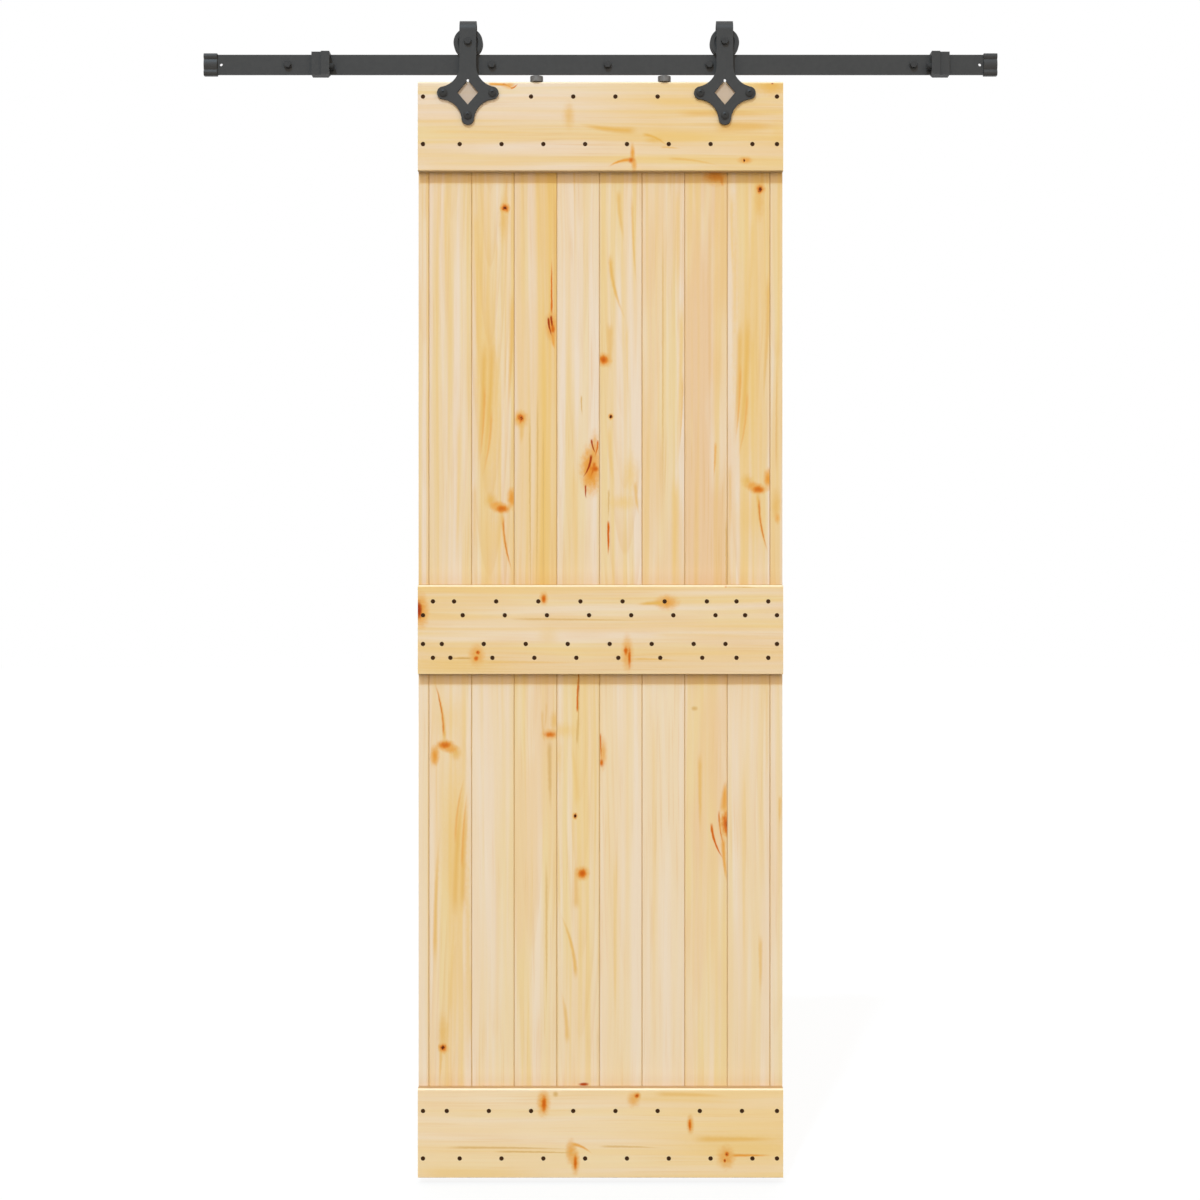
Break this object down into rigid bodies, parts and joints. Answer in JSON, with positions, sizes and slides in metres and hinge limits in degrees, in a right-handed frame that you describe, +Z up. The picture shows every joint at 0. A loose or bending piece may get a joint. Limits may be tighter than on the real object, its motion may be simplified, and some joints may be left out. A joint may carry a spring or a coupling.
{
  "type": "sliding barn door",
  "caption": "Sliding plank door leaf with cross battens, hung by bent strap hangers and grooved wheels from a flat wall rail with stops and end caps.",
  "frame": {"origin": "wall plane behind the middle of the rail, on the line of the wall bolts", "axes": "+Z up, +Y into the wall, +X to the right when facing the door"},
  "size_m": [1.524, 0.0907, 2.2189],
  "materials": {
    "pine": "clear satin",
    "coated_steel": "matt powder coat",
    "cap_plastic": "matt",
    "black_fastener": "black oxide",
    "bronze_screw": "dark bronze plated",
    "bright_steel": "zinc plated",
    "rubber": "matt"
  },
  "bodies": {
    "rail": {"rail": "coated_steel", "rail_spacers": "coated_steel", "rail_lag_bolts": "black_fastener", "rail_washers": "coated_steel", "left_end_cap": "cap_plastic", "right_end_cap": "cap_plastic", "left_stop_block": "coated_steel", "right_stop_block": "coated_steel", "left_stop_bumper": "rubber", "right_stop_bumper": "rubber", "stop_grub_screws": "black_fastener"},
    "door": {"upper_left_strip": "pine", "upper_plank_1": "pine", "upper_plank_2": "pine", "upper_plank_3": "pine", "upper_plank_4": "pine", "upper_plank_5": "pine", "upper_plank_6": "pine", "upper_plank_7": "pine", "upper_plank_8": "pine", "upper_right_strip": "pine", "lower_left_strip": "pine", "lower_plank_1": "pine", "lower_plank_2": "pine", "lower_plank_3": "pine", "lower_plank_4": "pine", "lower_plank_5": "pine", "lower_plank_6": "pine", "lower_plank_7": "pine", "lower_plank_8": "pine", "lower_right_strip": "pine", "top_batten": "pine", "middle_batten": "pine", "bottom_batten": "pine", "top_batten_screws": "bronze_screw", "middle_batten_screws": "bronze_screw", "bottom_batten_screws": "bronze_screw", "left_hanger_strap": "coated_steel", "right_hanger_strap": "coated_steel", "hanger_door_bolts": "black_fastener", "hanger_sleeve_nuts": "bright_steel", "axle_bolts": "black_fastener", "axle_washers": "bright_steel", "axle_nuts": "black_fastener", "axle_sleeves": "bright_steel", "left_bearing_inner_ring": "bright_steel", "right_bearing_inner_ring": "bright_steel", "left_lift_disc": "coated_steel", "right_lift_disc": "coated_steel", "lift_disc_screws": "bronze_screw"},
    "left_wheel": {"left_wheel": "coated_steel", "left_bearing_outer_ring": "bright_steel", "left_bearing_balls": "bright_steel"},
    "right_wheel": {"right_wheel": "coated_steel", "right_bearing_outer_ring": "bright_steel", "right_bearing_balls": "bright_steel"}
  },
  "joints": [
    {"name": "door_slide", "type": "slide", "parent": "rail", "child": "door", "axis": [1, 0, 0], "range_m": [-0.239, 0.37]},
    {"name": "left_wheel_spin", "type": "hinge", "parent": "door", "child": "left_wheel", "pos_m": [-0.254, -0.038, 0.0411], "axis": [0, 1, 0], "continuous": true},
    {"name": "right_wheel_spin", "type": "hinge", "parent": "door", "child": "right_wheel", "pos_m": [0.238, -0.038, 0.0411], "axis": [0, 1, 0], "continuous": true}
  ],
  "couplings": [
    {"joint": "left_wheel_spin", "follows": "door_slide", "rad_per_m": 45.872},
    {"joint": "right_wheel_spin", "follows": "door_slide", "rad_per_m": 45.872}
  ]
}
